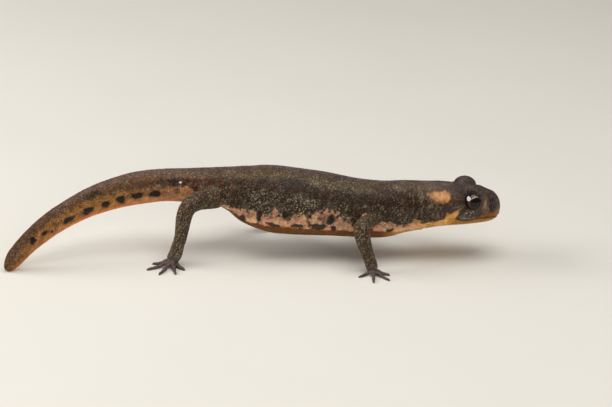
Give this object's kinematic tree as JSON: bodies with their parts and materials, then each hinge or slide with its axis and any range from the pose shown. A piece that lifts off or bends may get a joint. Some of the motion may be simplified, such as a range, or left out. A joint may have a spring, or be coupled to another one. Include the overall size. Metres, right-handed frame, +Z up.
{
  "type": "young banded newt in its land phase",
  "caption": "Life-size young newt walking on a level floor, with a long trunk, bulging eyes, spread toes and a deep flattened tail that curves down and aside to its tip.",
  "frame": {"origin": "centre of the newt's overall box, on the floor under it", "axes": "+X towards the snout, +Y towards the newt's left side, +Z up"},
  "size_m": [0.079, 0.0268, 0.0145],
  "materials": {
    "skin_brown": "satin",
    "tail_brown": "satin",
    "limb_grey": "satin",
    "eye_black": "gloss"
  },
  "bodies": {
    "root": {"head": "skin_brown", "neck": "skin_brown", "chest": "skin_brown", "belly": "skin_brown", "hips": "skin_brown", "tail_base": "tail_brown", "tail_middle": "tail_brown", "tail_tip": "tail_brown", "eye_left": "eye_black", "eye_right": "eye_black", "upper_arm_left": "limb_grey", "upper_arm_right": "limb_grey", "forearm_left": "limb_grey", "forearm_right": "limb_grey", "hand_left": "limb_grey", "hand_right": "limb_grey", "thigh_left": "limb_grey", "thigh_right": "limb_grey", "shank_left": "limb_grey", "shank_right": "limb_grey", "foot_left": "limb_grey", "foot_right": "limb_grey"}
  },
  "joints": []
}
